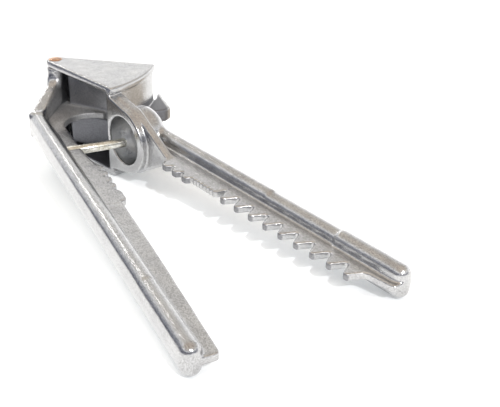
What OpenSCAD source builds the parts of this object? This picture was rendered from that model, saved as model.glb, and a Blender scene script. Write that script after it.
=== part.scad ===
// Hand-held garlic press with a fruit-stone punch and toothed cracking jaws.
// Two die-cast handles turn on one rivet. The hinge axis is +Z through the origin,
// the lower cheek of the pressing chamber lies on z = 0, and the chamber handle runs
// along +X. The plunger handle is drawn part open.

/* [Handles] */
// Distance from the hinge axis to the ends of the handles
handle_len = 156; // [140:1:170]
// Width of a handle bar, seen from above
bar_w = 6; // [5:0.1:7]
// Height of a handle bar
bar_h = 9.4; // [8:0.1:10.5]
// Radius along the long edges of a handle bar
bar_edge_r = 2.5; // [1.5:0.1:2.8]
// Thickness of the web between a bar and its jaw edge
web_t = 2.2; // [1.8:0.1:2.8]
// Opening angle between the two handles as drawn
open_angle = 15.4; // [2:0.1:60]
// How far the plunger handle's bar leans in towards the jaws
bar_lean = 0.85; // [0:0.05:1.2]

/* [Chamber] */
// Height of the pressing chamber over both cheeks
housing_h = 32; // [28:0.5:36]
// Thickness of one cheek
cheek_t = 2.3; // [1.8:0.1:3]
// Radius of the cheeks' curved outer edge
sector_r = 35; // [34.6:0.1:36]
// Outer radius of the curved wall
wall_r = 34.2; // [33.8:0.1:34.4]
// Inner radius of the curved wall
chamber_r = 32.4; // [32:0.1:32.6]
// Angle of the perforated wall from the chamber handle's axis
sieve_angle = 41.5; // [38:0.5:44]
// Thickness of the perforated wall
sieve_t = 2.2; // [1.8:0.1:2.6]
// Diameter of one sieve hole
sieve_hole_d = 1.7; // [1.2:0.1:2]
// Distance between neighbouring sieve holes
sieve_pitch = 3.3; // [3:0.1:3.6]

/* [Stone cup] */
// Distance of the cup's axis from the hinge
cup_x = 41.7; // [41.5:0.1:42.2]
// Inner radius of the cup
cup_r = 8.2; // [7.6:0.1:8.3]
// Thickness of the cup's wall
cup_wall = 1.7; // [1.4:0.1:2.2]
// Depth of the cup over its outside
cup_depth = 12.6; // [11:0.1:14]
// Radius of the hole that the stone leaves through
stone_hole_r = 3.3; // [2.8:0.1:4]
// Diameter of the punch pin
pin_d = 3; // [2.5:0.1:3.4]

/* [Jaws] */
// Distance of the first large tooth from the hinge
tooth_x0 = 93.2; // [92:0.1:94]
// Pitch of the large teeth
tooth_pitch = 6.27; // [5.8:0.01:6.3]
// Number of large teeth
tooth_count = 9; // [5:1:9]
// Depth of the large teeth
tooth_depth = 4.2; // [3:0.1:4.4]

/* [Hinge] */
// Diameter of the rivet's shank
rivet_d = 3.2; // [2.6:0.1:3.4]
// Diameter of the rivet's heads
rivet_head_d = 4.8; // [4.4:0.1:6]
// Radius of the cheeks and of the knuckle round the rivet
boss_r = 3.2; // [3:0.1:3.4]

/* [Hidden] */
$fn = 96;
mid_z = housing_h / 2;
eps = 0.01;
// gap between parts that move past each other
run_gap = 0.3;
// radial clearance of the knuckle on the rivet
hinge_clear = 0.05;
// half height of the space between the cheeks
inner_h = mid_z - cheek_t;
// the sieve wall's outer face is tangent to the boss
sieve_out = boss_r;
sieve_in = sieve_out - sieve_t;
// cheek front edge, tangent to the boss and ending on the curved edge
front_y = 0.4;
front_a = atan2(front_y + boss_r, sector_r);
// plates at the mouth of the stone cup
face_t = 2.4;
gusset_t = 2.8;
cup_out = cup_r + cup_wall;
face_r = 11.2;
gusset_r = 11.7;
gusset_tip = 63;
// inner face of the chamber handle's bar
bar_in = 7.2;
web_z = web_t / 2;
tooth_tip = 0.2;
tooth_root = tooth_tip + tooth_depth;
// how far the webs end short of the handles' ends
end_gap = 0.5;
// bend of the plunger handle's arm
bend_x = 18;
bend_y = -11.4;
// length of the plunger handle's bar up to its round end
plunger_run = (handle_len - bend_x) / cos(bar_lean) - bar_w / 2;
arm_a = atan2(bend_y, bend_x);
arm_len = norm([bend_x, bend_y]);
// the arm's inner side, and its outer side at the knuckle and at the bend
arm_in = 2.1;
arm_out_0 = -2.1;
arm_out_1 = -2.9;
// half height of the arm beside the knuckle
arm_h = 8.3;
knuckle_h = 2 * (inner_h - run_gap);
plate_face = sieve_in - run_gap;
plate_t = 3.2;
plate_r = chamber_r - 0.35;
plate_s0 = 6.6;
pin_x = cup_x - 0.3;
pin_root = -8;
pin_tip = 11.8;

// tangent point on a circle at c, radius r, seen from p; side is 1 or -1
function tangent(p, c, r, side) =
    let (d = p - c, a = atan2(d[1], d[0]) + side * acos(r / norm(d)))
    c + r * [cos(a), sin(a)];

// inner and outer side of the plunger handle's bar at distance x from the bend
function plunger_in(x) = -8.4 + (x - bend_x) * tan(bar_lean);

// ---------- shapes shared by several parts

// long bar with rounded edges from x0 to x1, lying between y0 and y0 + bar_w
module bar_section(h) {
    r = bar_edge_r;
    translate([r, -h / 2]) square([bar_w - 2 * r, h]);
    translate([0, r - h / 2]) square([bar_w, h - 2 * r]);
    for (x = [r, bar_w - r], y = [r - h / 2, h / 2 - r])
        translate([x, y]) circle(r);
}

module bar_run(x0, x1, h) {
    translate([x0, 0, 0])
        rotate([90, 0, 90])
            linear_extrude(x1 - x0) bar_section(h);
}

// round end of a bar, centred on x
module bar_end(x, h) {
    translate([x, bar_w / 2, 0])
        rotate_extrude()
            intersection() {
                translate([-bar_w / 2, 0]) bar_section(h);
                translate([0, -h]) square([bar_w, 2 * h]);
            }
}

// solid of revolution about a line along +Y through the cup's centre
module about_cup() {
    translate([cup_x, 0, mid_z]) rotate([-90, 0, 0]) children();
}

// flat plate standing in the XZ plane, from y0 to y0 + t
module standing_plate(y0, t) {
    translate([0, y0 + t, mid_z]) rotate([90, 0, 0]) linear_extrude(t) children();
}

// the plunger handle is designed closed and then turned to its drawn angle
module plunger_place() {
    rotate([0, 0, -open_angle]) translate([0, 0, mid_z]) children();
}

// ---------- chamber handle

module cheek_2d() {
    back = boss_r * [-sin(sieve_angle), cos(sieve_angle)];
    along = [cos(sieve_angle), sin(sieve_angle)];
    front = boss_r * [sin(front_a), -cos(front_a)];
    circle(boss_r);
    intersection() {
        circle(sector_r, $fn = 180);
        polygon([
            [0, 0], front, front + 60 * [cos(front_a), sin(front_a)],
            back + 60 * along, back
        ]);
    }
}

module upper_cheek() {
    color("gainsboro")
        difference() {
            translate([0, 0, housing_h - cheek_t]) linear_extrude(cheek_t) cheek_2d();
            translate([0, 0, mid_z]) cylinder(d = rivet_d, h = housing_h);
        }
}

module lower_cheek() {
    color("gainsboro")
        difference() {
            linear_extrude(cheek_t) cheek_2d();
            translate([0, 0, -1]) cylinder(d = rivet_d, h = housing_h / 2);
            rivet_sink();
        }
}

// countersunk lower head, flush with the lower cheek
module rivet_sink() {
    sink = (rivet_head_d - rivet_d) / 2;
    cylinder(d1 = rivet_head_d, d2 = rivet_d, h = sink);
}

// wedge of the plan between the cup's mouth plane and the sieve wall's inner face
module chamber_wedge_2d() {
    along = [cos(sieve_angle), sin(sieve_angle)];
    side = [-sin(sieve_angle), cos(sieve_angle)];
    polygon([[20, 0], [60, 0], 60 * along + sieve_in * side, 20 * along + sieve_in * side]);
}

module curved_wall() {
    color("silver")
        difference() {
            translate([0, 0, cheek_t])
                linear_extrude(2 * inner_h)
                    intersection() {
                        difference() {
                            circle(wall_r, $fn = 180);
                            circle(chamber_r, $fn = 180);
                        }
                        chamber_wedge_2d();
                    }
            about_cup() translate([0, 0, -5]) cylinder(r = cup_r, h = 15);
        }
}

module sieve_wall() {
    first = 8.4;
    columns = floor((chamber_r - first - 2) / sieve_pitch) + 1;
    rows = floor((2 * inner_h - 4) / sieve_pitch) + 1;
    color("silver")
        difference() {
            translate([0, 0, cheek_t])
                linear_extrude(2 * inner_h)
                    difference() {
                        intersection() {
                            circle(wall_r, $fn = 180);
                            rotate(sieve_angle) translate([0, sieve_in])
                                square([wall_r, sieve_t]);
                        }
                        circle(boss_r + run_gap);
                    }
            for (i = [0 : columns - 1], j = [0 : rows - 1])
                rotate([0, 0, sieve_angle])
                    translate([
                        first + i * sieve_pitch, 0, mid_z + (j - (rows - 1) / 2) * sieve_pitch
                    ])
                        rotate([-90, 0, 0])
                            cylinder(d = sieve_hole_d, h = 10, $fn = 24);
        }
}

// plate from y0 to y0 + t: a disc round the cup joined to the housing's corners
module disc_to_corners(y0, t, r, corner) {
    c = [cup_x, 0];
    p = tangent(corner, c, r - 0.1, -1);
    about_cup() translate([0, 0, y0]) cylinder(r = r, h = t);
    standing_plate(y0, t)
        polygon([corner, p, [p[0], -p[1]], [corner[0], -corner[1]]]);
}

module cup_face() {
    color("silver")
        difference() {
            disc_to_corners(0, face_t, face_r, [chamber_r - 1, inner_h]);
            translate([0, 0, -1]) cylinder(r = wall_r, h = 50, $fn = 180);
            about_cup() translate([0, 0, -5]) cylinder(r = cup_out, h = 30);
        }
}

module gusset_plate() {
    tip = [gusset_tip, web_z];
    t = tangent(tip, [cup_x, 0], gusset_r - 0.1, 1);
    color("silver")
        difference() {
            union() {
                disc_to_corners(face_t, gusset_t, gusset_r, [chamber_r, inner_h]);
                standing_plate(face_t, gusset_t)
                    polygon([t, tip, [tip[0], -tip[1]], [t[0], -t[1]]]);
            }
            translate([0, 0, -1]) cylinder(r = wall_r, h = 50, $fn = 180);
            about_cup() translate([0, 0, -5]) cylinder(r = cup_out, h = 30);
        }
}

// cup for one fruit: straight mouth, rounded bottom with a hole for the stone
module stone_cup() {
    round_out = 4;
    round_in = 3.2;
    floor_y = cup_depth - cup_wall;
    color("gainsboro")
        difference() {
            about_cup()
                rotate_extrude()
                    difference() {
                        union() {
                            square([cup_out - round_out, cup_depth]);
                            square([cup_out, cup_depth - round_out]);
                            translate([cup_out - round_out, cup_depth - round_out])
                                circle(round_out);
                        }
                        translate([-20, -20]) square([20, 60]);
                        translate([0, -1]) square([cup_r, floor_y - round_in + 1]);
                        translate([0, -1]) square([cup_r - round_in, floor_y + 1]);
                        translate([cup_r - round_in, floor_y - round_in]) circle(round_in);
                        translate([0, -1]) square([stone_hole_r, 30]);
                    }
            translate([0, 0, -1]) cylinder(r = wall_r, h = 50, $fn = 180);
        }
}

// claw at the chamber's outer back corner, its point reaching past the sieve wall
module opener_claw() {
    claw_t = 4.6;
    color("silver")
        difference() {
            rotate([0, 0, sieve_angle])
                translate([0, 0, mid_z - claw_t / 2])
                    linear_extrude(claw_t)
                        polygon([
                            [33, -7.2], [37.6, -6.4], [40.2, -4.2], [41.2, -1.4],
                            [39.4, 2], [37, 6], [34.8, 10.3], [33.8, 9.9],
                            [34.4, 6], [34.1, 3.2], [33, 3.2]
                        ]);
            translate([0, 0, -1]) cylinder(r = wall_r, h = 50, $fn = 180);
        }
}

module chamber_bar() {
    step_1 = 0.665 * handle_len;
    step_2 = 0.845 * handle_len;
    color("gainsboro")
        difference() {
            translate([0, bar_in, mid_z]) {
                bar_run(cup_x + 7, step_1, bar_h);
                bar_run(step_1 - eps, step_2 + eps, bar_h - 0.8);
                bar_run(step_2, handle_len - bar_w / 2, bar_h + 0.2);
                bar_end(handle_len - bar_w / 2, bar_h + 0.2);
            }
            about_cup() translate([0, 0, -5]) cylinder(r = cup_out, h = 30);
        }
}

// outline of count teeth along +X, ending on the line y = back
module tooth_row(x0, pitch, count, tip, root, tip_w, root_w, back) {
    polygon([
        for (i = [0 : count - 1])
            for (p = [
                [-pitch / 2 + root_w / 2, root], [-tip_w / 2, tip],
                [tip_w / 2, tip], [pitch / 2 - root_w / 2, root]
            ])
                [x0 + i * pitch + p[0], p[1]],
        [x0 + (count - 0.5) * pitch, root],
        [x0 + (count - 0.5) * pitch, back],
        [x0 - 0.5 * pitch, back],
        [x0 - 0.5 * pitch, root]
    ]);
}

module chamber_jaw_teeth() {
    last = tooth_x0 + (tooth_count - 0.5) * tooth_pitch;
    end = handle_len - end_gap;
    bar_mid = bar_in + bar_w / 2;
    bar_stop = handle_len - bar_w / 2;
    color("silver")
        translate([0, 0, mid_z - web_z])
            linear_extrude(web_t) {
                tooth_row(
                    tooth_x0, tooth_pitch, tooth_count, tooth_tip, tooth_root, 1.3, 0.9, bar_in
                );
                difference() {
                    polygon([
                        [last - eps, tooth_root], [last + 0.6, tooth_root + 0.5],
                        [end - 1.2, tooth_root + 1.1], [end - 0.3, tooth_root + 1.6],
                        [end, tooth_root + 2.5], [end, bar_mid], [last - eps, bar_mid]
                    ]);
                    translate([last - 1, bar_in]) square([bar_stop - last + 1, bar_w]);
                    translate([bar_stop, bar_mid]) circle(bar_w / 2);
                }
            }
}

// root of the jaw: three coarse teeth for small nuts, then a fine serrated edge
module chamber_small_jaw() {
    coarse_x0 = 65.8;
    coarse_pitch = 5;
    fine_pitch = 1.55;
    fine_x0 = coarse_x0 + 2.5 * coarse_pitch + fine_pitch / 2;
    fine_count = 7;
    end = tooth_x0 - tooth_pitch / 2;
    color("silver")
        difference() {
            translate([0, 0, mid_z - web_z])
                linear_extrude(web_t) {
                    tooth_row(coarse_x0, coarse_pitch, 3, -0.7, 1.2, 1.9, 0.8, bar_in);
                    tooth_row(fine_x0, fine_pitch, fine_count, 0.7, 1.4, 0.3, 0.3, bar_in);
                    polygon([
                        [fine_x0 + (fine_count - 0.5) * fine_pitch - eps, 1.4],
                        [end - 0.6, 1.4], [end, tooth_root], [end, bar_in],
                        [fine_x0 + (fine_count - 0.5) * fine_pitch - eps, bar_in]
                    ]);
                    polygon([
                        [cup_x, face_t + gusset_t], [gusset_tip, face_t + gusset_t],
                        [gusset_tip, 1.2], [coarse_x0 - coarse_pitch / 2 + eps, 1.2],
                        [coarse_x0 - coarse_pitch / 2 + eps, bar_in], [cup_x, bar_in]
                    ]);
                }
            about_cup() translate([0, 0, -5]) cylinder(r = cup_out, h = 30);
        }
}

// ---------- hinge

// shank through cheeks and knuckle, domed upper head, countersunk lower head
module hinge_rivet() {
    dome_h = 0.5;
    dome_r = (pow(rivet_head_d / 2, 2) + pow(dome_h, 2)) / (2 * dome_h);
    color("peru") {
        cylinder(d = rivet_d, h = housing_h);
        rivet_sink();
        translate([0, 0, housing_h])
            intersection() {
                translate([0, 0, dome_h - dome_r]) sphere(dome_r, $fn = 120);
                cylinder(d = rivet_head_d + 1, h = 2);
            }
    }
}

// ---------- plunger handle

module hinge_knuckle() {
    color("silver")
        plunger_place()
            difference() {
                cylinder(r = boss_r, h = knuckle_h, center = true);
                cylinder(r = rivet_d / 2 + hinge_clear, h = 2 * knuckle_h, center = true);
            }
}

module arm_2d() {
    rotate(arm_a)
        polygon([
            [0, arm_in], [arm_len + 1.5, arm_in], [arm_len + 1.5, arm_out_1], [0, arm_out_0]
        ]);
}

// bar of the plunger handle in plan, from the bend to the round end
module plunger_bar_place() {
    translate([bend_x, plunger_in(bend_x), 0])
        rotate([0, 0, bar_lean])
            translate([0, -bar_w, 0]) children();
}

// tallest beside the knuckle, sloping down to the height of the bar at the bend
module knuckle_arm() {
    steps = [
        [-1, arm_h], [4, arm_h], [arm_len - 1, bar_h / 2], [arm_len + 5, bar_h / 2]
    ];
    color("silver")
        plunger_place()
            difference() {
                intersection() {
                    linear_extrude(2 * arm_h, center = true) arm_2d();
                    rotate([0, 0, arm_a])
                        translate([0, 10, 0])
                            rotate([90, 0, 0])
                                linear_extrude(20)
                                    polygon([
                                        each steps,
                                        for (i = [3 : -1 : 0]) [steps[i][0], -steps[i][1]]
                                    ]);
                }
                cylinder(r = boss_r, h = 60, center = true);
                plunger_bar_place()
                    translate([0, -5, -20]) cube([40, bar_w + 20, 40]);
            }
}

module plate_2d() {
    intersection() {
        circle(plate_r, $fn = 180);
        rotate(sieve_angle)
            translate([plate_s0, plate_face - plate_t]) square([plate_r, plate_t]);
    }
}

module plunger_plate() {
    color("silver")
        plunger_place()
            translate([0, 0, -knuckle_h / 2]) linear_extrude(knuckle_h) plate_2d();
}

// web between knuckle, arm and plate, with a round scallop on its open side
module plunger_web() {
    scallop = [25.3, 5];
    scallop_r = 9.1;
    along = [cos(sieve_angle), sin(sieve_angle)];
    side = [-sin(sieve_angle), cos(sieve_angle)];
    back = plate_face - plate_t;
    // where the arm's inner side ends at the bar
    arm_side = [cos(arm_a), sin(arm_a)];
    arm_up = [-sin(arm_a), cos(arm_a)];
    bar_y = plunger_in(bend_x);
    arm_end = (bar_y - arm_in * arm_up[1]) / arm_side[1];
    color("silver")
        plunger_place()
            difference() {
                translate([0, 0, -web_z])
                    linear_extrude(web_t)
                        polygon([
                            arm_in * arm_up + 2 * arm_side, 2 * along,
                            5 * along + (back + 1.5) * side, plate_s0 * along + back * side,
                            22 * along + back * side, [25.3, -3.9], [25.3, plunger_in(25.3)],
                            [bend_x, bar_y], arm_in * arm_up + arm_end * arm_side
                        ]);
                cylinder(r = boss_r, h = 20, center = true);
                translate([scallop[0], scallop[1], -5]) cylinder(r = scallop_r, h = 10);
            }
}

module plunger_bar() {
    run = plunger_run;
    step = 0.80 * run;
    color("gainsboro")
        plunger_place()
            plunger_bar_place() {
                bar_run(0, step, bar_h);
                bar_run(step - eps, run, bar_h - 0.3);
                bar_end(run, bar_h - 0.3);
            }
}

// root of the plunger handle's jaw: plain edge, four small teeth and one broad tooth
module plunger_small_jaw() {
    x0 = 25.3;
    x1 = 82;
    small_x0 = 57.6;
    small_pitch = 4.2;
    row_start = small_x0 - small_pitch / 2;
    row_end = small_x0 + 3.5 * small_pitch;
    color("silver")
        plunger_place()
            difference() {
                translate([0, 0, -web_z])
                    linear_extrude(web_t)
                        difference() {
                            union() {
                                polygon([
                                    [x0, -3.9], [44, -3.5], [50, -3.1], [row_start + eps, -2.2],
                                    [row_start + eps, -12], [x0, -12]
                                ]);
                                mirror([0, 1])
                                    tooth_row(small_x0, small_pitch, 4, 0.5, 2.2, 1.5, 0.6, 12);
                                polygon([
                                    [row_end - eps, -2.2], [73.8, -1.2], [75, -0.3], [79.6, -0.3],
                                    [80.6, -1.1], [80.8, -2.2], [x1, -2.2], [x1, -12],
                                    [row_end - eps, -12]
                                ]);
                            }
                            polygon([
                                [x0 - 1, plunger_in(x0 - 1)], [x1 + 1, plunger_in(x1 + 1)],
                                [x1 + 1, -20], [x0 - 1, -20]
                            ]);
                        }
                pin_solid(0);
            }
}

module plunger_grip_web() {
    x0 = 82;
    x1 = handle_len - end_gap;
    color("silver")
        plunger_place()
            translate([0, 0, -web_z])
                linear_extrude(web_t)
                    difference() {
                        polygon([
                            [x0, -2.1], [110, -2.1], [x1 - 1.2, -2.9], [x1 - 0.3, -3.3],
                            [x1, -4.3], [x1, -9], [x0, -9]
                        ]);
                        plunger_bar_place() {
                            translate([-5, 0]) square([plunger_run + 5, bar_w]);
                            translate([plunger_run, bar_w / 2]) circle(bar_w / 2);
                        }
                    }
}

// pin along the swing direction; grow widens it
module pin_solid(grow) {
    chamfer = 0.5;
    r = pin_d / 2 + grow;
    translate([pin_x, pin_root, 0])
        rotate([-90, 0, 0]) {
            cylinder(r = r, h = pin_tip - pin_root - chamfer, $fn = 48);
            translate([0, 0, pin_tip - pin_root - chamfer])
                cylinder(r1 = r, r2 = r - chamfer, h = chamfer, $fn = 48);
        }
}

module punch_pin() {
    color("lightyellow") plunger_place() pin_solid(0);
}

upper_cheek();
lower_cheek();
curved_wall();
sieve_wall();
cup_face();
gusset_plate();
stone_cup();
opener_claw();
chamber_bar();
chamber_jaw_teeth();
chamber_small_jaw();
hinge_rivet();
hinge_knuckle();
knuckle_arm();
plunger_plate();
plunger_web();
plunger_bar();
plunger_small_jaw();
plunger_grip_web();
punch_pin();
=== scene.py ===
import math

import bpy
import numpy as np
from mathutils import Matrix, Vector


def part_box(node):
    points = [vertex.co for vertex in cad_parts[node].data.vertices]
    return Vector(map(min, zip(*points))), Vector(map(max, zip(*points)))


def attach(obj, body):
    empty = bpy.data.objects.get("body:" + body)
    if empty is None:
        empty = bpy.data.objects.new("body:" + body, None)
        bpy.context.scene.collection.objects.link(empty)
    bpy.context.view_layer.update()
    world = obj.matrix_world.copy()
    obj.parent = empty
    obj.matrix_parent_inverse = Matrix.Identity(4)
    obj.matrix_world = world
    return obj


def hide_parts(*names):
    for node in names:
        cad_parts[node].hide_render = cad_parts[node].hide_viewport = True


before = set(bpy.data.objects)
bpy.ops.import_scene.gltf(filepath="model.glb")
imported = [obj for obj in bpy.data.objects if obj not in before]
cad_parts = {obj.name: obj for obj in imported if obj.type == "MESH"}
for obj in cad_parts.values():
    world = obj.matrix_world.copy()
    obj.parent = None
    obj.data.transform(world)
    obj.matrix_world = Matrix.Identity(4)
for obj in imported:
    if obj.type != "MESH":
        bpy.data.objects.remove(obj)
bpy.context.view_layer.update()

# Looks of the garlic press. Each die-cast handle is one continuous mesh with soft edges
# and fillets: its shape is written as a distance field, sampled on a grid and skinned.
# Shape functions work in millimetres in the part's own frame, with z measured from the
# part's mid plane. The rivet and the punch pin are turned profiles.

MM = 0.001


def extent(node, axis):
    """Lowest and highest coordinate of a CAD node along one axis, in millimetres."""
    low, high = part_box(node)
    return low[axis] / MM, high[axis] / MM


# ---------- sizes that the frame gives, in millimetres
HOUSING_H = extent("upper_cheek", 2)[1]
MID_Z = HOUSING_H / 2
CHEEK_T = extent("lower_cheek", 2)[1]
BOSS_R = -extent("upper_cheek", 0)[0]
BAR_IN, BAR_OUT = extent("chamber_bar", 1)
BAR_W = BAR_OUT - BAR_IN
HANDLE_LEN = extent("chamber_bar", 0)[1]
CUP_DEPTH = extent("stone_cup", 1)[1]
CUP_OUT = extent("stone_cup", 2)[1] - MID_Z
KNUCKLE_TOP = extent("hinge_knuckle", 2)[1] - MID_Z
WEB_HALF = extent("chamber_jaw_teeth", 2)[1] - MID_Z
RIVET_TOP = extent("hinge_rivet", 2)[1] - MID_Z
PIN_R = extent("punch_pin", 2)[1] - MID_Z

# ---------- sizes of the chamber handle
SIEVE_ANGLE = math.radians(41.5)
FRONT_Y = 0.4
SECTOR_R = 35.0
WALL_R = 34.2
CHAMBER_R = 32.4
WALL_MID_R = (WALL_R + CHAMBER_R) / 2
SIEVE_T = 2.2
SIEVE_HOLE_R = 0.9
SIEVE_PITCH = 3.3
SIEVE_COLUMNS = 7
SIEVE_ROWS = 8
SIEVE_FIRST = 8.4
CUP_X = 41.7
CUP_WALL = 1.7
CUP_R = CUP_OUT - CUP_WALL
STONE_HOLE_R = 3.3
FACE_T = 2.4
FACE_R = 11.2
GUSSET_T = 2.8
GUSSET_R = 11.7
GUSSET_TIP = 63.0
BAR_EDGE_R = 2.3
BAR_DRAFT = 0.12
JAW_EDGE_R = 0.18
BAR_HALF = 4.7
LOW_X = 103.8
SHOULDER_X = 131.8
CLAW_HALF = 2.3
CLAW = [
    (33, -7.2), (37.6, -6.4), (40.2, -4.2), (41.2, -1.4), (39.4, 2), (37, 6),
    (34.8, 10.3), (33.8, 9.9), (34.4, 6), (34.1, 3.2), (33, 3.2),
]
CLAW_EDGE = CLAW[6], CLAW[3]
END_GAP = 0.5

# ---------- sizes of the plunger handle, drawn closed
OPEN_ANGLE = math.radians(15.4)
BEND = (18.0, -8.4)
BAR_LEAN = math.radians(0.85)
ARM_ANGLE = math.atan2(-11.4, 18.0)
ARM_LEN = math.hypot(18.0, 11.4)
ARM_IN = 2.1
ARM_OUT_ROOT, ARM_OUT_BEND = -2.1, -2.9
ARM_ROOT_H = 8.3
PLATE_FACE = BOSS_R - SIEVE_T - 0.3
PLATE_T = 3.2
PLATE_R = CHAMBER_R - 0.35
PLATE_START = 6.6
SCALLOP = (25.3, 5.0)
SCALLOP_R = 9.1
PIN_X = CUP_X - 0.3
PIN_ROOT, PIN_TIP = -8.0, 11.8
PIN_CHAMFER = 0.5

# ---------- hinge
RIVET_R = 1.6
RIVET_HEAD_R = 2.4

# ---------- skinning
GRID = 0.30
SOFTEN = 0.17


# ---------- distance fields

def polygon(x, y, points):
    """Signed distance to a closed polygon, negative inside."""
    nearest, inside = np.inf, False
    for (ax, ay), (bx, by) in zip(points, points[1:] + points[:1]):
        ex, ey = bx - ax, by - ay
        t = np.clip(((x - ax) * ex + (y - ay) * ey) / (ex * ex + ey * ey), 0, 1)
        nearest = np.minimum(nearest, (x - ax - t * ex) ** 2 + (y - ay - t * ey) ** 2)
        crosses = (ay <= y) != (by <= y)
        left = (x - ax) * ey < (y - ay) * ex
        inside = inside ^ (crosses & (left == (ey > 0)))
    return np.where(inside, -1.0, 1.0) * np.sqrt(nearest)


def prism(flat, height, edge=0.0):
    """Solid of a flat shape between end faces, with its edges rounded to radius edge."""
    a, b = flat + edge, height + edge
    outside = np.hypot(np.maximum(a, 0), np.maximum(b, 0))
    return np.minimum(np.maximum(a, b), 0) + outside - edge


def slab(value, low, high):
    """Distance to the space between two values of a coordinate."""
    return np.abs(value - (low + high) / 2) - (high - low) / 2


def join(first, second, fillet):
    """Union of two solids with a fillet between them."""
    blend = np.maximum(fillet - np.abs(first - second), 0) / fillet
    return np.minimum(first, second) - blend * blend * fillet / 4


def cut(solid, *tools):
    """Solid with every tool's volume taken away."""
    for tool in tools:
        solid = np.maximum(solid, -tool)
    return solid


def turned(x, y, angle):
    """Coordinates of (x, y) in axes turned by angle."""
    c, s = math.cos(angle), math.sin(angle)
    return x * c + y * s, y * c - x * s


def tangent(point, centre_x, radius, side):
    """Where the line from a point touches a circle round (centre_x, 0)."""
    dx, dz = point[0] - centre_x, point[1]
    angle = math.atan2(dz, dx) + side * math.acos(radius / math.hypot(dx, dz))
    return centre_x + radius * math.cos(angle), radius * math.sin(angle)


def mirrored(points):
    """Closed outline from its upper half, mirrored in the line z = 0."""
    return points + [(x, -z) for x, z in reversed(points)]


def tooth_row(x0, pitch, count, tip, root, tip_w, root_w, back):
    """Outline of a row of teeth along +X whose first tooth is centred on x0."""
    points = []
    for i in range(count):
        x = x0 + i * pitch
        points += [
            (x - (pitch - root_w) / 2, root), (x - tip_w / 2, tip),
            (x + tip_w / 2, tip), (x + (pitch - root_w) / 2, root),
        ]
    end = x0 + (count - 0.5) * pitch
    return points + [(end, root), (end, back), (x0 - pitch / 2, back), (x0 - pitch / 2, root)]


def bar(x, y, z, end, half_height, widening=0.0):
    """Bar along +X round the line y = 0, drafted from its mid plane, its end centred on x."""
    side = np.hypot(np.maximum(x - end, 0), y) + BAR_DRAFT * np.abs(z)
    return prism(side - BAR_W / 2 - widening, np.abs(z) - half_height, BAR_EDGE_R)


def ramp(x, start, end):
    """Smooth rise from 0 to 1 between two values of x."""
    t = np.clip((x - start) / (end - start), 0, 1)
    return t * t * (3 - 2 * t)


# ---------- chamber handle

def chamber_wedge(x, y):
    """Plan of the housing: the angle between its front edge and the sieve, round the boss."""
    front = math.atan2(FRONT_Y + BOSS_R, SECTOR_R)
    half = (SIEVE_ANGLE - front) / 2
    u, v = turned(x, y, front + half)
    v = np.abs(v)
    t = np.maximum(u * math.cos(half) + v * math.sin(half), 0)
    away = np.hypot(u - t * math.cos(half), v - t * math.sin(half))
    return np.where(v * math.cos(half) > u * math.sin(half), away, -away) - BOSS_R


def cheeks(x, y, height):
    plan = np.maximum(chamber_wedge(x, y), np.hypot(x, y) - SECTOR_R)
    return prism(plan, slab(height, MID_Z - CHEEK_T, MID_Z), 0.6)


def curved_wall(x, y, height):
    across = turned(x, y, SIEVE_ANGLE)[1]
    ring = slab(np.hypot(x, y), CHAMBER_R, WALL_R)
    plan = np.maximum(np.maximum(ring, -y), across - BOSS_R + SIEVE_T / 2)
    return np.maximum(plan, height - MID_Z + CHEEK_T / 2)


def sieve_wall(x, y, z):
    along, across = turned(x, y, SIEVE_ANGLE)
    column = np.clip(np.round((along - SIEVE_FIRST) / SIEVE_PITCH), 0, SIEVE_COLUMNS - 1)
    row = np.clip(np.floor(z / SIEVE_PITCH), -SIEVE_ROWS / 2, SIEVE_ROWS / 2 - 1) + 0.5
    holes = np.hypot(along - SIEVE_FIRST - column * SIEVE_PITCH, z - row * SIEVE_PITCH)
    plan = np.maximum(slab(across, BOSS_R - SIEVE_T, BOSS_R), -along)
    plan = np.maximum(plan, slab(np.hypot(x, y), BOSS_R + 0.12, WALL_R))
    solid = np.maximum(plan, np.abs(z) - MID_Z + CHEEK_T / 2)
    return cut(solid, holes - SIEVE_HOLE_R)


def cup_plates(x, y, z):
    """Flat plates at the cup's mouth, reaching to the housing's corners and the web."""
    inner_h = MID_Z - CHEEK_T
    from_axis = np.hypot(x - CUP_X, z)
    corner = (CHAMBER_R - 1, inner_h)
    face = np.minimum(
        from_axis - FACE_R,
        polygon(x, z, mirrored([corner, tangent(corner, CUP_X, FACE_R - 0.1, -1)])),
    )
    corner, tip = (CHAMBER_R, inner_h), (GUSSET_TIP, WEB_HALF)
    gusset = np.minimum(
        from_axis - GUSSET_R,
        polygon(x, z, mirrored([
            corner, tangent(corner, CUP_X, GUSSET_R - 0.1, -1),
            tangent(tip, CUP_X, GUSSET_R - 0.1, 1), tip,
        ])),
    )
    plates = join(
        prism(face, slab(y, 0, FACE_T + 1), 0.4),
        prism(gusset, slab(y, FACE_T, FACE_T + GUSSET_T), 0.5),
        0.6,
    )
    return np.maximum(plates, WALL_MID_R - np.hypot(x, y))


def cup_outside(x, y, z):
    body = prism(np.hypot(x - CUP_X, z) - CUP_OUT, y - CUP_DEPTH, 4.0)
    return np.maximum(np.maximum(body, -y), WALL_MID_R - np.hypot(x, y))


def cup_inside(x, y, z):
    """Room inside the cup, with the hole that the stone leaves through."""
    from_axis = np.hypot(x - CUP_X, z)
    bore = prism(from_axis - CUP_R, y - CUP_DEPTH + CUP_WALL, 3.2)
    return np.minimum(bore, from_axis - STONE_HOLE_R)


def claw(x, y, height):
    """Flat claw whose point reaches past the sieve wall."""
    along, across = turned(x, y, SIEVE_ANGLE)
    blade = prism(polygon(along, across, CLAW), height - CLAW_HALF, 0.6)
    return np.maximum(blade, WALL_MID_R - np.hypot(x, y))


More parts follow.
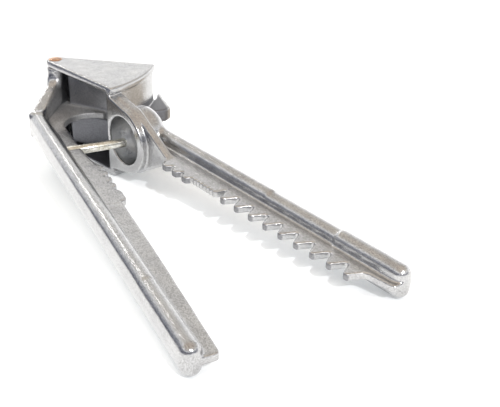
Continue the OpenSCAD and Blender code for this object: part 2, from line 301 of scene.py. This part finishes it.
def chamber_bar(x, y, z):
    """Bar that is lowest in the middle and fullest after the shoulder near its end."""
    lower = 0.4 * ramp(x, LOW_X - 0.6, LOW_X + 0.6)
    shoulder = ramp(x, SHOULDER_X - 0.5, SHOULDER_X + 0.5)
    across = y - BAR_IN - BAR_W / 2
    half = BAR_HALF - lower + 0.5 * shoulder
    inner = 0.4 * (shoulder - 1) * (across < 0)
    solid = bar(x, across, z, HANDLE_LEN - BAR_W / 2, half, inner)
    return np.maximum(solid, CUP_X + 5 - x)


def chamber_jaw(x, y, height):
    """Web below the bar with coarse, fine and large teeth."""
    back = BAR_IN + 1
    root = 4.4
    last = 93.2 + 8.5 * 6.27
    end = HANDLE_LEN - END_GAP
    outlines = [
        tooth_row(93.2, 6.27, 9, 0.2, root, 1.3, 0.9, back),
        [
            (last - 0.1, root), (last + 0.6, root + 0.5), (end - 1.2, root + 1.1),
            (end - 0.3, root + 1.6), (end, root + 2.5), (end, back + 1), (last - 0.1, back + 1),
        ],
        tooth_row(65.8, 5, 3, -0.7, 1.2, 1.9, 0.8, back),
        tooth_row(79.075, 1.55, 7, 0.7, 1.4, 0.3, 0.3, back),
        [(89.1, 1.4), (89.5, 1.4), (90.1, root), (90.1, back), (89.1, back)],
        [(CUP_X, 3.5), (GUSSET_TIP, 3.5), (GUSSET_TIP, 1.2), (63.5, 1.2), (63.5, back), (CUP_X, back)],
    ]
    flat = np.inf
    for outline in outlines:
        flat = np.minimum(flat, polygon(x, y, outline))
    return prism(flat, height - WEB_HALF, JAW_EDGE_R)


def rivet_hole(x, y, z):
    """Bore through both cheeks, countersunk below."""
    radius = np.hypot(x, y)
    sink = (radius - RIVET_HEAD_R + z + MID_Z) / math.sqrt(2)
    return np.minimum(radius - RIVET_R, sink)


def chamber_handle(x, y, z):
    height = np.abs(z)
    housing = np.minimum(cheeks(x, y, height), curved_wall(x, y, height))
    housing = np.minimum(housing, sieve_wall(x, y, z))
    cup = join(cup_outside(x, y, z), cup_plates(x, y, z), 1.0)
    handle = join(chamber_bar(x, y, z), chamber_jaw(x, y, height), 0.6)
    solid = join(join(handle, cup, 1.2), housing, 0.7)
    solid = join(solid, claw(x, y, height), 0.8)
    before_mouth = np.maximum(y, np.maximum(CHAMBER_R - x, x - GUSSET_TIP + 2))
    return cut(solid, cup_inside(x, y, z), rivet_hole(x, y, z), before_mouth)


# ---------- plunger handle

def plunger_in(x):
    """Inner face of the plunger handle's bar."""
    return BEND[1] + (x - BEND[0]) * math.tan(BAR_LEAN)


def knuckle(x, y, height):
    return prism(np.hypot(x, y) - BOSS_R, height - KNUCKLE_TOP, 0.5)


def knuckle_arm(x, y, height):
    """Tallest beside the knuckle, sloping down to the bar's height at the bend."""
    along, across = turned(x, y, ARM_ANGLE)
    end = ARM_LEN + 0.8
    plan = polygon(along, across, [
        (0, ARM_IN), (end, ARM_IN), (end, ARM_OUT_BEND), (0, ARM_OUT_ROOT),
    ])
    top = polygon(along, height, [
        (-4, -4), (-4, ARM_ROOT_H), (4, ARM_ROOT_H), (ARM_LEN - 1, BAR_HALF),
        (ARM_LEN + 4, BAR_HALF), (ARM_LEN + 4, -4),
    ])
    return prism(plan, top, 1.1)


def plunger_plate(x, y, height):
    along, across = turned(x, y, SIEVE_ANGLE)
    plan = np.maximum(slab(across, PLATE_FACE - PLATE_T, PLATE_FACE), PLATE_START - along)
    plan = np.maximum(plan, np.hypot(x, y) - PLATE_R)
    return prism(plan, height - KNUCKLE_TOP, 0.5)


def plunger_jaw(x, y, height):
    """Web from the knuckle to the handle's end, with small teeth and a broad one."""
    back = -9.0
    c, s = math.cos(SIEVE_ANGLE), math.sin(SIEVE_ANGLE)
    root = PLATE_FACE - PLATE_T + 1.5
    web = polygon(x, y, [
        (2.0, -1.3), (3.0, 2.0), (22 * c - root * s, 22 * s + root * c), (25.4, -3.9),
        (25.4, back), (BEND[0], back),
    ])
    web = cut(web, np.hypot(x - SCALLOP[0], y - SCALLOP[1]) - SCALLOP_R)
    end = HANDLE_LEN - END_GAP
    teeth = [(px, -py) for px, py in tooth_row(57.6, 4.2, 4, 0.5, 2.2, 1.5, 0.6, -back)]
    outlines = [
        [(25.3, -3.9), (44, -3.5), (50, -3.1), (55.6, -2.2), (55.6, back), (25.3, back)],
        teeth,
        [
            (72.2, -2.2), (73.8, -1.2), (75, -0.3), (79.6, -0.3), (80.6, -1.1),
            (80.8, -2.2), (82.1, -2.2), (82.1, back), (72.2, back),
        ],
        [
            (82, -2.1), (110, -2.1), (end - 1.2, -2.9), (end - 0.3, -3.3), (end, -4.3),
            (end, back), (82, back),
        ],
    ]
    flat = web
    for outline in outlines:
        flat = np.minimum(flat, polygon(x, y, outline))
    return prism(flat, height - WEB_HALF, JAW_EDGE_R)


def plunger_bar(x, y, z):
    along, across = turned(x - BEND[0], y - BEND[1], BAR_LEAN)
    run = (HANDLE_LEN - BEND[0]) / math.cos(BAR_LEAN) - BAR_W / 2
    half = BAR_HALF - 0.15 * ramp(along, 0.8 * run - 0.5, 0.8 * run + 0.5)
    return np.maximum(bar(along, across + BAR_W / 2, z, run, half), -along)


def pin_hole(x, y, z):
    return np.maximum(np.hypot(x - PIN_X, z) - PIN_R, PIN_ROOT - y)


def plunger_handle(x, y, z):
    height = np.abs(z)
    grip = join(plunger_bar(x, y, z), plunger_jaw(x, y, height), 0.6)
    head = join(knuckle(x, y, height), knuckle_arm(x, y, height), 3.4)
    head = join(head, plunger_plate(x, y, height), 1.0)
    solid = join(grip, head, 1.6)
    return cut(solid, np.hypot(x, y) - RIVET_R - 0.05, pin_hole(x, y, z))


# ---------- skinning

def softened(field, sigma):
    """Field blurred by a Gaussian, which rounds edges and leaves flat faces where they are."""
    reach = int(math.ceil(3 * sigma))
    weights = np.exp(-0.5 * (np.arange(-reach, reach + 1) / sigma) ** 2)
    weights /= weights.sum()
    for axis in range(3):
        padding = [(reach, reach) if a == axis else (0, 0) for a in range(3)]
        padded = np.pad(field, padding, mode="edge")
        size = field.shape[axis]
        field = sum(
            weight * padded.take(range(i, i + size), axis)
            for i, weight in enumerate(weights)
        )
    return field


def sample(field, points):
    """Field at any points given in grid steps."""
    base = np.clip(np.floor(points).astype(int), 0, np.array(field.shape) - 2)
    part = points - base
    total = 0.0
    for corner in np.ndindex(2, 2, 2):
        weight = np.prod(np.where(corner, part, 1 - part), axis=1)
        total = total + weight * field[tuple((base + corner).T)]
    return total


def settle(field, points, rounds=3):
    """Move points along the field's slope onto its zero level."""
    for _ in range(rounds):
        slope = np.stack([
            sample(field, points + step) - sample(field, points - step)
            for step in 0.5 * np.eye(3)
        ], axis=1)
        length = np.maximum((slope ** 2).sum(axis=1), 0.05)
        move = sample(field, points) / length
        points = points - np.clip(move[:, None] * slope, -0.4, 0.4)
    return points


def skin(field):
    """Vertices in grid steps and quads of the field's zero level."""
    points, quads = [], []
    cells = np.array(field.shape)
    for axis in range(3):
        ahead = np.eye(3, dtype=int)[axis]
        u, v = np.eye(3, dtype=int)[(axis + 1) % 3], np.eye(3, dtype=int)[(axis + 2) % 3]
        inside = field < 0
        size = cells[axis]
        change = inside.take(range(size - 1), axis) != inside.take(range(1, size), axis)
        at = np.argwhere(change)
        start, end = field[tuple(at.T)], field[tuple((at + ahead).T)]
        points.append(at + ahead * (start / (start - end))[:, None])
        ring = [at, at - u, at - u - v, at - v]
        ring = np.stack([np.ravel_multi_index(tuple(c.T), cells) for c in ring], axis=1)
        quads.append(np.where((start < 0)[:, None], ring, ring[:, ::-1]))
    points, quads = np.concatenate(points), np.concatenate(quads)
    used, index = np.unique(quads, return_inverse=True)
    index = index.reshape(quads.shape)
    share = np.bincount(index.ravel(), minlength=len(used))
    vertices = np.stack([
        np.bincount(index.ravel(), weights=np.repeat(points[:, a], 4)) / share for a in range(3)
    ], axis=1)
    return settle(field, vertices), index


def casting(name, shape, low, high, turn=0.0):
    """Mesh object of a distance field between two corners, turned about the hinge."""
    axes = [np.arange(a - 4 * GRID, b + 4 * GRID, GRID) for a, b in zip(low, high)]
    grid = np.meshgrid(*axes, indexing="ij", sparse=True)
    field = softened(shape(*grid).astype(np.float32), SOFTEN / GRID)
    vertices, quads = skin(field)
    vertices = vertices * GRID + [a[0] for a in axes]
    c, s = math.cos(turn), math.sin(turn)
    x, y, z = vertices.T
    placed = np.stack([x * c - y * s, x * s + y * c, z + MID_Z], axis=1) * MM
    mesh = bpy.data.meshes.new(name)
    mesh.from_pydata(placed.tolist(), [], quads.tolist())
    mesh.validate()
    mesh.shade_smooth()
    return add_object(name, mesh)


def add_object(name, mesh):
    obj = bpy.data.objects.new(name, mesh)
    bpy.context.scene.collection.objects.link(obj)
    return obj


def turned_piece(name, profile, place, segments=72):
    """Mesh object of a profile of (radius, height) turned about the placed Z axis."""
    vertices, faces = [], []
    rings = []
    for radius, height in profile:
        count = segments if radius > 0 else 1
        rings.append(range(len(vertices), len(vertices) + count))
        for i in range(count):
            angle = 2 * math.pi * i / segments
            point = Vector((radius * math.cos(angle), radius * math.sin(angle), height))
            vertices.append(place @ (point * MM))
    for lower, upper in zip(rings, rings[1:]):
        for i in range(segments):
            j = (i + 1) % segments
            corners = [lower[i % len(lower)], lower[j % len(lower)],
                       upper[j % len(upper)], upper[i % len(upper)]]
            faces.append(list(dict.fromkeys(corners)))
    mesh = bpy.data.meshes.new(name)
    mesh.from_pydata(vertices, [], faces)
    mesh.validate()
    mesh.shade_smooth()
    return add_object(name, mesh)


def arc(centre, radius, start, end, steps):
    """Points along an arc of a profile, angles in degrees."""
    angles = [math.radians(start + (end - start) * i / steps) for i in range(steps + 1)]
    return [(centre[0] + radius * math.cos(a), centre[1] + radius * math.sin(a)) for a in angles]


def make_rivet():
    """Shank with a countersunk lower head and a low domed upper head."""
    dome = RIVET_TOP - MID_Z
    dome_r = (RIVET_HEAD_R ** 2 + dome ** 2) / (2 * dome)
    rim = math.degrees(math.asin((dome_r - dome) / dome_r))
    sink = RIVET_HEAD_R - RIVET_R
    profile = [(0, -MID_Z), (0.9, -MID_Z), (RIVET_HEAD_R - 0.2, -MID_Z)]
    profile += [(RIVET_HEAD_R - 0.05, -MID_Z + 0.05), (RIVET_R, -MID_Z + sink)]
    profile += [(RIVET_R, 0), (RIVET_R, MID_Z - 0.2), (RIVET_R, MID_Z)]
    profile += [(RIVET_HEAD_R - 0.06, MID_Z)]
    profile += arc((0, MID_Z + dome - dome_r), dome_r, rim + 1, 89, 10)
    profile += [(0, RIVET_TOP)]
    return turned_piece("rivet", profile, Matrix.Translation((0, 0, MID_Z * MM)))


def make_pin():
    """Straight pin with a chamfered, slightly crowned tip."""
    length = PIN_TIP - PIN_ROOT
    profile = [(0, 0), (PIN_R - 0.2, 0), (PIN_R, 0.2), (PIN_R, length / 2)]
    profile += [(PIN_R, length - PIN_CHAMFER - 0.1), (PIN_R - 0.03, length - PIN_CHAMFER)]
    profile += [(PIN_R - PIN_CHAMFER + 0.04, length - 0.07), (PIN_R - PIN_CHAMFER - 0.06, length)]
    profile += [(0, length)]
    place = (
        Matrix.Rotation(-OPEN_ANGLE, 4, "Z")
        @ Matrix.Translation(Vector((PIN_X, PIN_ROOT, MID_Z)) * MM)
        @ Matrix.Rotation(-math.pi / 2, 4, "X")
    )
    return turned_piece("pin", profile, place, 48)


# ---------- materials

def add_node(tree, kind, inputs=None, **settings):
    """Shader node with settings; inputs are constants or sockets to link from."""
    node = tree.nodes.new(kind)
    for key, value in settings.items():
        setattr(node, key, value)
    for key, value in (inputs or {}).items():
        if isinstance(value, bpy.types.NodeSocket):
            tree.links.new(value, node.inputs[key])
        else:
            node.inputs[key].default_value = value
    return node


def ramp_node(tree, factor, stops):
    """Colour ramp with (position, colour) stops."""
    node = add_node(tree, "ShaderNodeValToRGB", {"Fac": factor})
    elements = node.color_ramp.elements
    while len(elements) < len(stops):
        elements.new(0.5)
    for element, (position, colour) in zip(elements, stops):
        element.position = position
        element.color = (*colour, 1)
    return node.outputs["Color"]


def grey(value):
    return (value, value, value)


def new_material(name):
    material = bpy.data.materials.new(name)
    material.use_nodes = True
    tree = material.node_tree
    shader = tree.nodes["Principled BSDF"]
    shader.inputs["Metallic"].default_value = 1.0
    return material, tree, shader


def noise(tree, vector, scale, detail=2.0, roughness=0.5):
    """Noise whose features are about 1 / scale metres wide."""
    inputs = {"Vector": vector, "Scale": scale, "Detail": detail, "Roughness": roughness}
    return add_node(tree, "ShaderNodeTexNoise", inputs).outputs["Fac"]


def mixed(tree, factor, first, second, blend="MIX"):
    """Colour between two colours; the mix node's colour sockets are found by their type."""
    node = add_node(tree, "ShaderNodeMix", {0: factor}, data_type="RGBA", blend_type=blend)
    colours = [socket for socket in node.inputs if socket.type == "RGBA"]
    tree.links.new(first, colours[0])
    tree.links.new(second, colours[1])
    return next(socket for socket in node.outputs if socket.type == "RGBA")


def bump(tree, height, distance, strength, normal=None):
    inputs = {"Height": height, "Distance": distance, "Strength": strength}
    if normal is not None:
        inputs["Normal"] = normal
    return add_node(tree, "ShaderNodeBump", inputs).outputs["Normal"]


def math_node(tree, operation, *values):
    inputs = dict(enumerate(values))
    return add_node(tree, "ShaderNodeMath", inputs, operation=operation).outputs["Value"]


def rise(tree, value, start, end):
    """Smooth rise from 0 to 1 between two values given in millimetres."""
    inputs = {"Value": value, "From Min": start * MM, "From Max": end * MM}
    node = add_node(tree, "ShaderNodeMapRange", inputs, interpolation_type="SMOOTHSTEP")
    return node.outputs["Result"]


def reach(tree, place, direction):
    """How far a place lies along a direction."""
    inputs = {0: place, 1: direction}
    return add_node(
        tree, "ShaderNodeVectorMath", inputs, operation="DOT_PRODUCT"
    ).outputs["Value"]


def side_of(tree, place, angle):
    """Distance of a place from the line through the hinge at an angle, seen from above."""
    return reach(tree, place, (-math.sin(angle), math.cos(angle), 0))


def distance_from(tree, place, centre, axes):
    """Distance of a place from a centre in millimetres, measured along the given axes only."""
    offset = add_node(
        tree, "ShaderNodeVectorMath", {0: place, 1: [value * MM for value in centre]},
        operation="SUBTRACT",
    ).outputs["Vector"]
    kept = add_node(
        tree, "ShaderNodeVectorMath", {0: offset, 1: axes}, operation="MULTIPLY"
    ).outputs["Vector"]
    return add_node(tree, "ShaderNodeVectorMath", {0: kept}, operation="LENGTH").outputs["Value"]


def product(tree, factors):
    result = factors[0]
    for factor in factors[1:]:
        result = math_node(tree, "MULTIPLY", result, factor)
    return result


def chamber_inside(tree, place):
    """1 on the rougher surfaces in the pressing chamber and at the root of the web, whose colour is
    darkened there as painted shade.
    """
    radius = distance_from(tree, place, (0, 0, 0), (1, 1, 0))
    height = distance_from(tree, place, (0, 0, MID_Z), (0, 0, 1))
    inner_h = MID_Z - CHEEK_T
    return product(tree, [
        rise(tree, radius, WALL_MID_R + 0.3, WALL_MID_R - 0.8),
        rise(tree, height, inner_h + 0.25, inner_h + 0.1),
        rise(tree, side_of(tree, place, ARM_ANGLE - OPEN_ANGLE), 0.6, ARM_IN),
        rise(tree, side_of(tree, place, SIEVE_ANGLE), BOSS_R - 0.05, BOSS_R - 0.3),
        rise(tree, side_of(tree, place, -OPEN_ANGLE), BEND[1] + 0.2, BEND[1] + 1.4),
    ])


def claw_face(tree, place):
    """1 on the claw except along its outer edge; there the surface is rougher and the colour darkened
    as painted shade.
    """
    radius = distance_from(tree, place, (0, 0, 0), (1, 1, 0))
    height = distance_from(tree, place, (0, 0, MID_Z), (0, 0, 1))
    (tip_x, tip_y), (heel_x, heel_y) = CLAW_EDGE
    edge_angle = SIEVE_ANGLE + math.atan2(heel_y - tip_y, heel_x - tip_x)
    edge_at = turned(tip_x, tip_y, edge_angle - SIEVE_ANGLE)[1]
    return product(tree, [
        rise(tree, radius, WALL_R + 0.05, WALL_R + 0.35),
        rise(tree, side_of(tree, place, SIEVE_ANGLE), -8.2, -7.6),
        rise(tree, height, CLAW_HALF + 0.6, CLAW_HALF + 0.3),
        rise(tree, side_of(tree, place, edge_angle), edge_at - 0.9, edge_at - 1.6),
    ])


def tooth_tips(tree, place):
    """1 on the chamber handle's tooth tips, short of their edges; there the colour is drawn darker and
    the surface rougher.
    """
    x, y = reach(tree, place, (1, 0, 0)), reach(tree, place, (0, 1, 0))
    height = distance_from(tree, place, (0, 0, MID_Z), (0, 0, 1))
    return product(tree, [
        rise(tree, x, GUSSET_TIP - 1, GUSSET_TIP),
        rise(tree, y, -1.6, -1.2),
        rise(tree, y, 1.0, 0.6),
        rise(tree, height, WEB_HALF - 0.05, WEB_HALF - 0.3),
    ])


def near_web(tree, place):
    """1 on the plunger handle's web and on the inner side of its arm."""
    height = distance_from(tree, place, (0, 0, MID_Z), (0, 0, 1))
    from_arm = side_of(tree, place, ARM_ANGLE - OPEN_ANGLE)
    return math_node(
        tree, "MAXIMUM", rise(tree, height, WEB_HALF + 0.4, WEB_HALF + 0.15),
        rise(tree, from_arm, ARM_IN + 0.7, ARM_IN + 0.3),
    )


def cup_bore(tree, place):
    """1 on the rough wall and bottom of the stone cup, whose colour is lightened there as painted
    light.
    """
    from_axis = distance_from(tree, place, (CUP_X, 0, MID_Z), (1, 0, 1))
    depth = side_of(tree, place, 0)
    return product(tree, [
        rise(tree, from_axis, CUP_R + 0.3, CUP_R + 0.1),
        rise(tree, depth, 0.3, 1.2),
        rise(tree, depth, CUP_DEPTH - 0.5, CUP_DEPTH - 0.9),
    ])


def cast_aluminium():
    """Tumbled die casting: wavy polish, fine grain and small pits, rougher out of its reach; painted
    shade in the chamber and on the claw, darker tooth tips and painted light in the cup.
    """
    material, tree, shader = new_material("cast_aluminium")
    place = add_node(tree, "ShaderNodeTexCoord").outputs["Object"]
    patches = noise(tree, place, 160, 4, 0.6)
    grain = noise(tree, place, 3600, 2, 0.6)
    waves = noise(tree, place, 380, 1, 0.4)
    cells = add_node(tree, "ShaderNodeTexVoronoi", {"Vector": place, "Scale": 1100})
    pits = ramp_node(tree, cells.outputs["Distance"], [(0.05, grey(0)), (0.16, grey(1))])
    tone = ramp_node(tree, patches, [
        (0.30, (0.52, 0.52, 0.53)), (0.55, (0.60, 0.60, 0.605)), (0.8, (0.67, 0.67, 0.665)),
    ])
    speckle = ramp_node(tree, grain, [(0.38, grey(0.40)), (0.58, grey(1.0))])

    # places that are rougher, and where the colour carries painted shade or painted light
    inside = chamber_inside(tree, place)
    bore = cup_bore(tree, place)
    claw = claw_face(tree, place)
    tips = tooth_tips(tree, place)
    radius = distance_from(tree, place, (0, 0, 0), (1, 1, 0))
    deep = rise(tree, radius, WALL_MID_R, 0.6 * WALL_MID_R)
    open_side = near_web(tree, place)
    # painted shade under the web: the chamber's lower half is darkened more
    below = rise(tree, reach(tree, place, (0, 0, 1)), MID_Z - 0.6, MID_Z - 1.6)

    # colour: painted shade in the chamber, darkest on the claw and under the web and lighter on the
    # web; darker tooth tips; painted light in the cup
    shade = math_node(tree, "MULTIPLY_ADD", open_side, -0.44, 0.50)
    shade = math_node(tree, "MULTIPLY_ADD", below, 0.16, shade)
    shade = math_node(tree, "MULTIPLY", inside, shade)
    # painted shade on the claw's face
    shade = math_node(tree, "MULTIPLY_ADD", claw, 0.62, shade)
    # tooth tips drawn darker
    shade = math_node(tree, "MULTIPLY_ADD", tips, 0.45, shade)
    # painted shade: the colour is multiplied towards bluish black as far as the shade sum goes
    painted_shade = ramp_node(tree, shade, [(0, grey(1)), (1, (0.0, 0.01, 0.05))])
    # painted light in the cup: a lighter colour mixed in on its wall and bottom
    painted_cup_light = ramp_node(tree, patches, [(0.35, (0.66, 0.68, 0.69)), (0.65, (0.95, 0.96, 0.97))])
    in_bore = math_node(tree, "MULTIPLY", bore, 0.45)
    colour_with_cup_light = mixed(tree, in_bore, mixed(tree, 0.6, tone, speckle, "MULTIPLY"), painted_cup_light)
    tree.links.new(mixed(tree, 1.0, colour_with_cup_light, painted_shade, "MULTIPLY"), shader.inputs["Base Color"])

    # roughness: most on the web deep in the chamber
    rough = ramp_node(tree, patches, [(0.25, grey(0.13)), (0.75, grey(0.25))])
    closed = math_node(tree, "SUBTRACT", 1.0, open_side)
    coarse = product(tree, [inside, math_node(tree, "MAXIMUM", closed, deep)])
    coarse = math_node(tree, "MAXIMUM", coarse, math_node(tree, "MAXIMUM", claw, tips))
    web_deep = product(tree, [inside, open_side, deep])
    coarse = math_node(tree, "MULTIPLY_ADD", web_deep, 0.8, coarse)
    rougher = math_node(tree, "MULTIPLY_ADD", coarse, 0.25, rough)
    rougher = math_node(tree, "MULTIPLY_ADD", bore, 0.12, rougher)
    tree.links.new(rougher, shader.inputs["Roughness"])

    normal = bump(tree, waves, 0.00012, math_node(tree, "MULTIPLY_ADD", bore, 0.5, 0.5))
    normal = bump(tree, grain, 0.00005, 0.7, normal)
    normal = bump(tree, pits, 0.00004, 0.35, normal)
    tree.links.new(normal, shader.inputs["Normal"])
    return material


def turned_metal(name, colour, dark, rough):
    """Drawn or pressed metal with fine rings, scratches and tarnish."""
    material, tree, shader = new_material(name)
    place = add_node(tree, "ShaderNodeTexCoord").outputs["Object"]
    tarnish = noise(tree, place, 700, 4, 0.6)
    grain = noise(tree, place, 5200, 2, 0.6)
    tree.links.new(
        ramp_node(tree, tarnish, [(0.35, dark), (0.62, colour)]), shader.inputs["Base Color"]
    )
    tree.links.new(
        ramp_node(tree, tarnish, [(0.3, grey(rough + 0.12)), (0.7, grey(rough))]),
        shader.inputs["Roughness"],
    )
    tree.links.new(bump(tree, grain, 0.00002, 0.4), shader.inputs["Normal"])
    return material


# ---------- stage

REST_HOUSING = Vector((35.0, 4.0, 0.0))
REST_CHAMBER = Vector((153.5, 10.2, 11.2))
REST_PLUNGER = Vector((147.9, -50.5, 11.45))


def floor_normal():
    """The press lies on the housing's lower edge and on both handle ends."""
    normal = (REST_CHAMBER - REST_HOUSING).cross(REST_PLUNGER - REST_HOUSING)
    return normal.normalized() * (1 if normal.z > 0 else -1)


def make_floor():
    size = 1.6
    normal = floor_normal()
    mesh = bpy.data.meshes.new("floor")
    corners = [(-size, -size, 0), (size, -size, 0), (size, size, 0), (-size, size, 0)]
    mesh.from_pydata(corners, [], [(0, 1, 2, 3)])
    floor = add_object("floor", mesh)
    turn = Vector((0, 0, 1)).rotation_difference(normal).to_matrix().to_4x4()
    floor.matrix_world = Matrix.Translation((REST_HOUSING - 0.15 * normal) * MM) @ turn
    material = bpy.data.materials.new("floor_paper")
    material.use_nodes = True
    tree = material.node_tree
    shader = tree.nodes["Principled BSDF"]
    place = add_node(tree, "ShaderNodeTexCoord").outputs["Object"]
    fibre = noise(tree, place, 900, 3, 0.6)
    tree.links.new(
        ramp_node(tree, fibre, [(0.3, (0.90, 0.91, 0.93)), (0.7, (0.93, 0.94, 0.96))]),
        shader.inputs["Base Color"],
    )
    shader.inputs["Roughness"].default_value = 0.8
    shader.inputs["Emission Color"].default_value = (0.95, 1.0, 0.99, 1)
    shader.inputs["Emission Strength"].default_value = 0.18
    mesh.materials.append(material)


def add_card(name, corners, colour):
    """Card that only the metal sees."""
    mesh = bpy.data.meshes.new(name)
    mesh.from_pydata([Vector(corner) * MM for corner in corners], [], [(0, 1, 2, 3)])
    card = add_object(name, mesh)
    material = bpy.data.materials.new(name + "_paper")
    material.use_nodes = True
    shader = material.node_tree.nodes["Principled BSDF"]
    shader.inputs["Base Color"].default_value = (*colour, 1)
    shader.inputs["Roughness"].default_value = 0.9
    mesh.materials.append(material)
    for seen in ("visible_camera", "visible_diffuse", "visible_shadow"):
        setattr(card, seen, False)


def make_cards():
    """The room that the metal mirrors: a dark card on the left, a brown one behind the cup."""
    along = Vector((math.cos(OPEN_ANGLE), -math.sin(OPEN_ANGLE), 0))
    aside = Vector((-along.y, along.x, 0))
    start = -75 * aside - 60 * along
    end = start + 320 * along
    low, high = Vector((0, 0, -2)), Vector((0, 0, 24))
    standing = [start + low, end + low, end + high, start + high]
    add_card("card_left", standing, (0.12, 0.13, 0.17))
    add_card("card_behind", [(30, 30, 3), (110, 30, 3), (110, 110, 3), (24, 110, 3)],
             (0.50, 0.46, 0.41))


def add_area_light(name, at, target, size, power, colour):
    light = bpy.data.lights.new(name, "AREA")
    light.shape = "RECTANGLE"
    light.size, light.size_y = size
    light.energy = power
    light.color = colour
    obj = bpy.data.objects.new(name, light)
    bpy.context.scene.collection.objects.link(obj)
    obj.location = at
    obj.rotation_euler = (Vector(target) - Vector(at)).to_track_quat("-Z", "Y").to_euler()
    obj.visible_camera = False
    return obj


def make_lights():
    """A small key lamp low on the right and a wide fill on the left, which the metal doesn't
    mirror, and a strip on the left, which it only mirrors."""
    target = Vector((0.06, -0.01, 0.016))
    key = target + 1.5 * Vector((0.72, -0.19, 0.665))
    add_area_light("key", key, target, (0.035, 0.035), 11.0, (1.0, 1.0, 1.0))
    side = target + 1.3 * Vector((-0.55, -0.25, 0.80))
    fill = add_area_light("fill", side, target, (0.9, 0.9), 7.0, (0.97, 1.0, 0.99))
    fill.visible_glossy = False
    left = target + 1.2 * Vector((-0.83, 0.12, 0.545))
    strip = add_area_light("strip", left, target, (0.20, 0.03), 0.45, (1.0, 0.99, 0.97))
    strip.visible_diffuse = False


def make_world():
    """Room round the stage: white low behind the press, dark low in front, warm overhead."""
    world = bpy.data.worlds.new("room")
    world.use_nodes = True
    tree = world.node_tree
    direction = add_node(tree, "ShaderNodeTexCoord").outputs["Generated"]
    height = add_node(tree, "ShaderNodeSeparateXYZ", {"Vector": direction}).outputs["Z"]
    overhead = (0.86, 0.75, 0.64)
    front = ramp_node(tree, height, [
        (0.0, (0.28, 0.29, 0.34)), (0.42, (0.42, 0.43, 0.48)), (0.48, grey(1.4)),
        (0.55, grey(1.4)), (0.64, (0.80, 0.76, 0.70)), (0.95, overhead),
    ])
    back = ramp_node(tree, height, [
        (0.0, grey(2.0)), (0.25, grey(1.5)), (0.5, (0.98, 0.96, 0.93)),
        (0.66, (0.84, 0.80, 0.74)), (0.95, overhead),
    ])
    facing = add_node(
        tree, "ShaderNodeVectorMath", {0: direction, 1: (-0.5, 0.85, 0.0)}, operation="DOT_PRODUCT"
    ).outputs["Value"]
    share = add_node(
        tree, "ShaderNodeMapRange", {"Value": facing, "From Min": 0.05, "From Max": 0.55},
        interpolation_type="SMOOTHSTEP",
    ).outputs["Result"]
    background = tree.nodes["Background"]
    tree.links.new(mixed(tree, share, front, back), background.inputs["Color"])
    background.inputs["Strength"].default_value = 1.0
    bpy.context.scene.world = world


def make_camera():
    """Camera in line with the handles' open end, looking down at them."""
    at = Vector((271.21, -142.84, 141.26)) * MM
    yaw, pitch, roll = (math.radians(a) for a in (49.10, -28.86, 1.77))
    forward = Vector((
        -math.sin(yaw) * math.cos(pitch), math.cos(yaw) * math.cos(pitch), math.sin(pitch),
    ))
    right = Vector((math.cos(yaw), math.sin(yaw), 0))
    up = right.cross(forward)
    right, up = (
        math.cos(roll) * right + math.sin(roll) * up,
        math.cos(roll) * up - math.sin(roll) * right,
    )
    data = bpy.data.cameras.new("camera")
    data.lens = 64.66
    data.sensor_width = 36.0
    data.clip_start = 0.01
    camera = bpy.data.objects.new("camera", data)
    bpy.context.scene.collection.objects.link(camera)
    turn = Matrix((right, up, -forward)).transposed().to_4x4()
    camera.matrix_world = Matrix.Translation(at) @ turn
    bpy.context.scene.camera = camera


# ---------- the press

def make_press():
    aluminium = cast_aluminium()
    chamber = casting(
        "chamber_casting", chamber_handle, (-BOSS_R, -3.4, -MID_Z), (HANDLE_LEN, 36, MID_Z)
    )
    chamber.data.materials.append(aluminium)
    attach(chamber, "chamber_handle")
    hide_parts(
        "upper_cheek", "lower_cheek", "curved_wall", "sieve_wall", "cup_face",
        "gusset_plate", "stone_cup", "opener_claw", "chamber_bar", "chamber_jaw_teeth",
        "chamber_small_jaw",
    )

    plunger = casting(
        "plunger_casting", plunger_handle, (-BOSS_R - 0.6, -15, -KNUCKLE_TOP),
        (HANDLE_LEN, 23, KNUCKLE_TOP), -OPEN_ANGLE,
    )
    plunger.data.materials.append(aluminium)
    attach(plunger, "plunger_handle")
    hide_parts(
        "hinge_knuckle", "knuckle_arm", "plunger_plate", "plunger_web",
        "plunger_bar", "plunger_small_jaw", "plunger_grip_web",
    )

    rivet = make_rivet()
    rivet.data.materials.append(
        turned_metal("rivet_copper", (0.72, 0.47, 0.33), (0.30, 0.18, 0.12), 0.20)
    )
    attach(rivet, "chamber_handle")
    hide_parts("hinge_rivet")

    pin = make_pin()
    pin.data.materials.append(
        turned_metal("pin_steel", (0.74, 0.73, 0.68), (0.46, 0.44, 0.37), 0.20)
    )
    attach(pin, "plunger_handle")
    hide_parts("punch_pin")


make_press()
make_floor()
make_cards()
make_lights()
make_world()
make_camera()
bpy.context.scene.view_settings.view_transform = "Standard"
